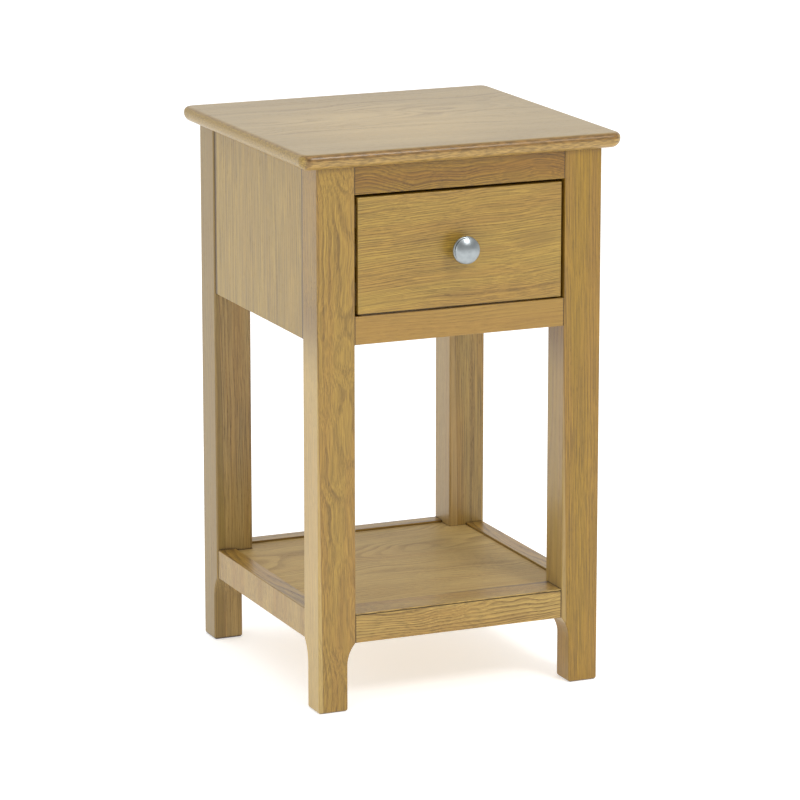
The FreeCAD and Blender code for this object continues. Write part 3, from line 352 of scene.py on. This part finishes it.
def topMoulding(tree, spot, wood):
    # painted sheen makes the face palest in its middle; painted shade and reflection make the moulded edge
    # darker than the face:
    # brown above, golden below, with a painted sheen on the ends, specks of their end grain, and a darker
    # front left corner of end grain
    # painted sheen: paler in the middle of the face, darker out towards its edges
    near = nearness(tree, spot, paintedSheen["place"], paintedSheen["reach"])
    pale = calc(tree, "MULTIPLY_ADD", near, paintedSheen["gain"], paintedSheen["edgeShade"])
    wood = blendColour(tree, 1.0, wood, grey(tree, pale), "MULTIPLY")
    flat = facing(tree, (0.0, 0.0, 1.0), *mouldingShading["flatFrom"])
    down = facing(tree, (0.0, 0.0, -1.0), *mouldingShading["downFrom"])
    left = facing(tree, (-1.0, 0.0, 0.0), *mouldingShading["sideFrom"])
    sides = calc(tree, "MAXIMUM", left, facing(tree, (1.0, 0.0, 0.0), *mouldingShading["sideFrom"]))
    # painted shade and reflection: brown where the edge faces up, golden where it faces down
    band = blendColour(tree, down, colour(*mouldingShading["upper"]), colour(*mouldingShading["lower"]))
    corner = facing(tree, mouldingShading["cornerWay"], *mouldingShading["cornerFrom"])
    corner = calc(tree, "MULTIPLY", corner, mouldingShading["cornerDark"])
    band = blendColour(tree, corner, band, colour(*mouldingShading["corner"]))
    # painted sheen: the ends paler
    band = blendColour(tree, sides, band, colour(*mouldingShading["sides"]))
    speck = cloud(tree, spot, mouldingShading["speck"], detail=3.0)
    shade = fade(tree, speck, *mouldingShading["speckFrom"], mouldingShading["speckShade"])
    band = blendColour(tree, 1.0, band, grey(tree, shade), "MULTIPLY")
    return blendColour(tree, flat, band, wood)


oak("tabletop", extra=topMoulding, **top)
print("top done")


# The legs

legs = {
    "leg_front_left": {"pith": (12.0, -75.0), "lean": (1.4, 0.7), "ring": 3.0, "wander": 14.0,
                       "wanderLong": 150.0, "lines": 0.52, "light": (0.295, 0.178, 0.029), "seed": 5.0},
    "leg_front_right": {"pith": (150.0, 40.0), "ring": 2.6, "wander": 8.0, "seed": 8.0, "lines": 0.55,
                        "light": (0.272, 0.154, 0.011)},
    # the rear left leg gets stronger, wider painted shade in its corners
    "leg_rear_left": {"pith": (-130.0, 70.0), "ring": 3.4, "lines": 0.5, "cornerShade": 1.0, "cornerShadeReach": 6.0,
                      "light": (0.330, 0.222, 0.072), "seed": 11.0},
    "leg_rear_right": {"pith": (120.0, 90.0), "ring": 3.1, "lines": 0.5, "seed": 14.0,
                       "light": (0.292, 0.194, 0.050)},
}
gluedLook = {
    "average": 0.85,           # a board's mean colour, as a share of its light one
    "plainness": 0.5,
    "line": 0.8,               # mm: half width of the glue line
    "blend": 0.3,              # mm: half width of the change from strip to leg
    "lineColour": (0.12, 0.06, 0.02),
    "lineDark": 0.4,
}
leftStripAndLight = {                # strip on the left side of each leg, taking in the whole left face: mm thick, and how its colour differs; the change is partly the glued strip's own colour, partly painted light and shade of the left face
    "leg_front_left": (1.6, (1.57, 1.79, 3.40)),
    "leg_front_right": (1.6, (1.36, 1.58, 5.60)),
    "leg_rear_left": (7.5, (0.83, 0.82, 0.68)),
    "leg_rear_right": (7.5, (1.35, 1.38, 1.80)),
}


def paintLeftStripAndLight(node):
    thick, stripAndLightTint = leftStripAndLight[node]
    mean = [gluedLook["average"] * part for part in legs[node]["light"]]
    plain = colour(*(part * change for part, change in zip(mean, stripAndLightTint)))
    low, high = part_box(node)
    line = thick - (high.x - low.x) / 2 / mm
    wide = gluedLook["line"]
    blend = gluedLook["blend"]

    # glue line, then the strip's colour over the left face: partly the strip's own, partly painted light
    # and shade of that face
    def paint(tree, spot, wood):
        across = addNode(tree, "SeparateXYZ", {0: spot})
        left = fade(tree, across, line - wide, line)
        seam = calc(tree, "MULTIPLY", left, fade(tree, across, line + wide, line))
        strip = blendColour(tree, 1.0, wood, colour(*stripAndLightTint), "MULTIPLY")
        strip = blendColour(tree, gluedLook["plainness"], strip, plain)
        wood = blendColour(tree, fade(tree, across, line + blend, line - blend), wood, strip)
        glue = calc(tree, "MULTIPLY", seam, gluedLook["lineDark"])
        return blendColour(tree, glue, wood, colour(*gluedLook["lineColour"]))
    return paint


for node, look in legs.items():
    oak(node, extra=paintLeftStripAndLight(node), **look)
print("legs done")


# Rails and panels of the case

panelLook = {"ring": 4.5, "lines": 0.46, "fibre": 0.28, "fibreWide": 2.0, "pores": 0.4,
             "light": (0.312, 0.202, 0.036), "dark": (0.150, 0.084, 0.013), "warm": (0.270, 0.164, 0.028),
             "seamWide": 2.4}
case = {
    "top_rail_front": {"grain": "X", "pith": (60.0, 75.0), "ring": 2.6, "wander": 16.0, "wanderLong": 120.0,
                       "lines": 0.85, "light": (0.248, 0.137, 0.013), "dark": (0.092, 0.039, 0.004),
                       "warm": (0.202, 0.088, 0.008), "warmth": 0.6, "seed": 17.0},
    "lower_rail_front": {"grain": "X", "pith": (20.0, 160.0), "ring": 4.5, "lines": 0.30, "fibre": 0.14,
                         "pores": 0.3, "light": (0.315, 0.180, 0.030), "warmth": 0.3, "seed": 20.0},
    # the left side panel's wide dark ends are painted shade where it meets the legs
    "side_panel_left": {**panelLook, "pith": (65.0, 170.0), "seamWide": 7.0, "seed": 23.0},
    "side_panel_right": {**panelLook, "pith": (-65.0, 150.0), "seed": 26.0},
    "back_panel": {**panelLook, "pith": (160.0, 45.0), "seed": 29.0},
}
for node, look in case.items():
    oak(node, seams="Y" if "side" in node else "X", **look)
print("case done")


# The shelf

shelf = {
    "shelf_rail_front": {"grain": "X", "pith": (-46.0, 34.0), "lean": (0.5, 2.6), "ring": 2.5,
                         "wander": 18.0, "wanderLong": 140.0, "lines": 0.65, "gloss": 0.48,
                         "light": (0.400, 0.262, 0.066), "seed": 32.0},
    # the shelf's rear rail and panel get weaker painted shade in their corners
    "shelf_rail_rear": {"grain": "X", "pith": (30.0, 120.0), "cornerShade": 0.30, "seed": 35.0},
    "shelf_panel": {"grain": "X", "pith": (70.0, -150.0), "ring": 3.6, "wander": 26.0, "wanderLong": 260.0,
                    "light": (0.448, 0.312, 0.108), "dark": (0.245, 0.150, 0.045),
                    "warm": (0.392, 0.250, 0.080), "lines": 0.60, "fibre": 0.16, "pores": 0.4,
                    "gloss": 0.60, "coat": 0.03, "cornerShade": 0.30, "seed": 38.0},
}
# dark line along the panel's edge: painted shade in the gap, with the joint's own line
panelLine = {
    "wide": 1.8,               # mm
    "dark": 0.6,
    "colour": (0.07, 0.036, 0.012),
}


def panelJoint(tree, spot, wood):
    # a dark line at the joint between the front member and the panel: painted shade in the gap there, with
    # the joint's own line
    low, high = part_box("shelf_rail_front")
    edge = (high.y - low.y) / 2 / mm
    across = addNode(tree, "SeparateXYZ", {0: spot})
    line = fade(tree, across, edge - panelLine["wide"], edge - panelLine["wide"] / 2)
    dark = calc(tree, "MULTIPLY", line, panelLine["dark"])
    return blendColour(tree, dark, wood, colour(*panelLine["colour"]))


oak("shelf_panel", **shelf["shelf_panel"])
oak("shelf_rail_front", extra=panelJoint, seams="X", **shelf["shelf_rail_front"])
oak("shelf_rail_rear", seams="X", **shelf["shelf_rail_rear"])

sideMember = {
    # the side members get weaker painted shade in their corners
    "along": {"grain": "Y", "pith": (30.0, 120.0), "cornerShade": 0.30, "seed": 41.0},
    "faced": {"grain": "Z", "pith": (20.0, 150.0), "ring": 3.0, "wanderLong": 90.0, "lines": 0.45,
              "light": (0.360, 0.232, 0.060), "seed": 44.0},
    "outerFrom": (0.6, 0.8),   # how far the surface turns outward where the strip starts
}


def makeSideMember(node, outward):
    # its outer face carries a strip whose grain stands upright
    material, tree = emptyMaterial(node + "Oak")
    middle = middleOf(node)
    look = {**woodDefaults, **sideMember["along"]}
    spot, wood, rough, height = figure(tree, look, middle)
    spot, strip, stripRough, stripHeight = figure(tree, {**woodDefaults, **sideMember["faced"]}, middle)
    outer = facing(tree, (outward, 0.0, 0.0), *sideMember["outerFrom"])
    wood = seamLines(tree, node, "Y", blendColour(tree, outer, wood, strip), look["seamWide"])
    rough = addNode(tree, "Mix", {0: outer, 2: rough, 3: stripRough})
    height = addNode(tree, "Mix", {0: outer, 2: height, 3: stripHeight})
    dress(node, lacquered(tree, material, look, wood, rough, height))


makeSideMember("shelf_rail_left", -1.0)
makeSideMember("shelf_rail_right", 1.0)
print("shelf done")


# The drawer

drawer = {
    "drawer_front": {"grain": "X", "pith": (30.0, -190.0), "lean": (1.6, 0.8), "wander": 9.0,
                     "wanderLong": 200.0, "lines": 0.60, "light": (0.330, 0.208, 0.034), "seed": 47.0},
    "drawer_side_left": {"grain": "Y", "pith": (20.0, 120.0), "seed": 50.0},
    "drawer_side_right": {"grain": "Y", "pith": (-20.0, 130.0), "seed": 53.0},
    "drawer_back": {"grain": "X", "pith": (20.0, 140.0), "seed": 56.0},
    "drawer_bottom": {"grain": "X", "pith": (40.0, -200.0), "ring": 5.0, "seed": 59.0},
    "pull_out_stop": {"grain": "X", "pith": (30.0, 90.0), "seed": 62.0},
}
drawerWood = {"light": (0.52, 0.39, 0.23), "dark": (0.36, 0.25, 0.13), "warm": (0.47, 0.33, 0.18),
              "lines": 0.35, "fibre": 0.12, "pores": 0.3, "gloss": 0.5}
brownPatch = {                 # mm from the middle of the drawer front: across, through, along
    "place": (0.0, 3.0, 94.0),
    "reach": (900, 17, 46),
    "colour": (0.19, 0.105, 0.018),
    "strength": 0.45,
}


def darkPatch(tree, spot, wood):
    # a browner place in the figure of the drawer front, to the right of the knob
    patch = nearness(tree, spot, brownPatch["place"], brownPatch["reach"])
    amount = calc(tree, "MULTIPLY", patch, brownPatch["strength"])
    return blendColour(tree, amount, wood, colour(*brownPatch["colour"]))


for node, look in drawer.items():
    if node == "drawer_front":
        oak(node, extra=darkPatch, **look)
    else:
        oak(node, **{**drawerWood, **look})
print("drawer done")


# Hidden woodwork

hiddenWood = {"light": (0.50, 0.37, 0.21), "dark": (0.36, 0.25, 0.13), "warm": (0.46, 0.32, 0.17),
              "lines": 0.3, "fibre": 0.12, "pores": 0.3, "gloss": 0.6, "pith": (30.0, 110.0)}
dowelWood = {**hiddenWood, "light": (0.58, 0.43, 0.28), "ring": 1.6}
hiddenSeed = 65.0
alongX = ("stop_rail", "back_cleat", "dowels_front_rails", "dowels_back_panel")
metalNodes = [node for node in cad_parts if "screw" in node or node == "knob"]
done = {"tabletop", *legs, *case, *shelf, *drawer, "shelf_rail_left", "shelf_rail_right", *metalNodes}
for number, node in enumerate(sorted(set(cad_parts) - done)):
    base = dowelWood if node.startswith("dowels") else hiddenWood
    oak(node, **{**base, "grain": "X" if node in alongX else "Y", "seed": hiddenSeed + number})
print("hidden woodwork done")


# Metal

knobLook = {
    "satin": (0.34, 0.37, 0.38),
    "gloss": 0.33,
    "brush": 0.04,
    "groove": 3.0,             # mm: how wide a gap still gets painted shade
}
screwLook = {
    "satin": (0.55, 0.54, 0.50),
    "gloss": 0.38,
    "brush": 0.12,
    "groove": 1.2,
}
metalLook = {
    "grain": (0.25, 0.9, 0.25),  # mm: marks of the brushing
    "haze": (6.0, 6.0, 6.0),   # mm: duller places
    "hazeFrom": (0.3, 0.7),
    "dulled": 0.86,
    "relief": 0.03,            # mm
    "shutFrom": (0.75, 0.35),  # openness over which a groove turns to painted shade
    "shutDark": 0.85,
    "cornerShade": (0.02, 0.02, 0.02),
}


def metal(name, look):
    material, tree = emptyMaterial(name)
    place = vectorCalc(tree, "SCALE", addNode(tree, "TexCoord", out="Object"))
    place.node.inputs["Scale"].default_value = 1 / mm
    grain = cloud(tree, place, metalLook["grain"], detail=3.0)
    haze = cloud(tree, place, metalLook["haze"], detail=2.0)
    shine = colour(*look["satin"])
    dull = colour(*(part * metalLook["dulled"] for part in look["satin"]))
    skin = blendColour(tree, fade(tree, haze, *metalLook["hazeFrom"]), shine, dull)
    # painted shade in grooves, such as the one behind the knob's crown
    openness = addNode(tree, "AmbientOcclusion", {"Distance": look["groove"] * mm}, out="AO", samples=8)
    shut = calc(tree, "MULTIPLY", fade(tree, openness, *metalLook["shutFrom"]), metalLook["shutDark"])
    skin = blendColour(tree, shut, skin, colour(*metalLook["cornerShade"]))
    rough = calc(tree, "MULTIPLY_ADD", grain, look["brush"] * 2, look["gloss"] - look["brush"])
    bump = addNode(tree, "Bump", {
        "Strength": look["brush"] * 3, "Distance": metalLook["relief"] * mm, "Height": grain,
    })
    surface = addNode(tree, "BsdfPrincipled", {
        "Base Color": skin, "Metallic": 1.0, "Roughness": rough, "Normal": bump,
    })
    end = tree.nodes.new("ShaderNodeOutputMaterial")
    tree.links.new(surface, end.inputs["Surface"])
    return material


knobMetal = metal("satinNickel", knobLook)
screwMetal = metal("zincPlate", screwLook)
for node in metalNodes:
    dress(node, knobMetal if node == "knob" else screwMetal)
print("metal done")


# Floor, light and camera

studio = {
    "floorHalf": 14.0,         # metres
    "floorShade": 0.88,
    "floorGlow": 0.50,
    "floorRoughness": 0.9,
    "floorShine": 0.1,
    "worldFront": 0.45,        # brightness of the room in front of the table, and behind it
    "worldBack": 1.02,
    "worldTurn": (-0.9, 0.5),  # headings where it starts and stops growing brighter
    "aim": (0.0, 0.0, 0.35),   # every light points here
    "lights": {                # place, size in metres, watts
        "keyLight": ((0.9, -2.6, 2.7), 0.9, 48.0),
        "overhead": ((-0.4, -0.9, 3.4), 2.2, 14.0),
        "leftFill": ((-3.0, -2.0, 1.0), 2.0, 18.0),
    },
}

camera = {
    "place": (-1.961, -4.5005, 1.479),  # metres
    "turn": 23.54,             # degrees to the right of straight back
    "dip": 13.33,              # degrees below level
    "lens": 193.04,            # mm
    "sees": 100.0,             # metres
}


def makeFloor():
    mesh = bpy.data.meshes.new("floor")
    shape = bmesh.new()
    half = studio["floorHalf"]
    corners = [shape.verts.new((x * half, y * half, 0.0)) for x, y in ((-1, -1), (1, -1), (1, 1), (-1, 1))]
    shape.faces.new(corners)
    shape.to_mesh(mesh)
    shape.free()
    floor = bpy.data.objects.new("floor", mesh)
    bpy.context.scene.collection.objects.link(floor)
    material = bpy.data.materials.new("paleFloor")
    material.use_nodes = True
    surface = material.node_tree.nodes["Principled BSDF"]
    shade = studio["floorShade"]
    surface.inputs["Base Color"].default_value = (shade, shade, shade, 1.0)
    surface.inputs["Roughness"].default_value = studio["floorRoughness"]
    surface.inputs["Specular IOR Level"].default_value = studio["floorShine"]
    surface.inputs["Emission Color"].default_value = (1.0, 1.0, 1.0, 1.0)
    surface.inputs["Emission Strength"].default_value = studio["floorGlow"]
    mesh.materials.append(material)


def makeLight(name, place, size, watts):
    light = bpy.data.lights.new(name, "AREA")
    light.size = size
    light.energy = watts
    lamp = bpy.data.objects.new(name, light)
    lamp.location = place
    lamp.rotation_euler = (Vector(studio["aim"]) - Vector(place)).to_track_quat("-Z", "Y").to_euler()
    bpy.context.scene.collection.objects.link(lamp)


def makeWorld():
    world = bpy.data.worlds.new("studio")
    world.use_nodes = True
    tree = world.node_tree
    heading = tree.nodes.new("ShaderNodeSeparateXYZ")
    tree.links.new(addNode(tree, "TexCoord", out="Generated"), heading.inputs[0])
    brightness = (studio["worldFront"], studio["worldBack"])
    level = fade(tree, heading.outputs["Y"], *studio["worldTurn"], brightness)
    tree.links.new(level, tree.nodes["Background"].inputs["Strength"])
    tree.nodes["Background"].inputs["Color"].default_value = (1.0, 1.0, 1.0, 1.0)
    bpy.context.scene.world = world


def makeCamera():
    lens = bpy.data.cameras.new("camera")
    lens.lens = camera["lens"]
    lens.clip_end = camera["sees"]
    eye = bpy.data.objects.new("camera", lens)
    eye.location = camera["place"]
    eye.rotation_euler = (math.radians(90 - camera["dip"]), 0.0, math.radians(-camera["turn"]))
    bpy.context.scene.collection.objects.link(eye)
    bpy.context.scene.camera = eye


makeFloor()
makeWorld()
for name, (place, size, watts) in studio["lights"].items():
    makeLight(name, place, size, watts)
makeCamera()
bpy.context.scene.view_settings.view_transform = "Standard"
print("studio done")
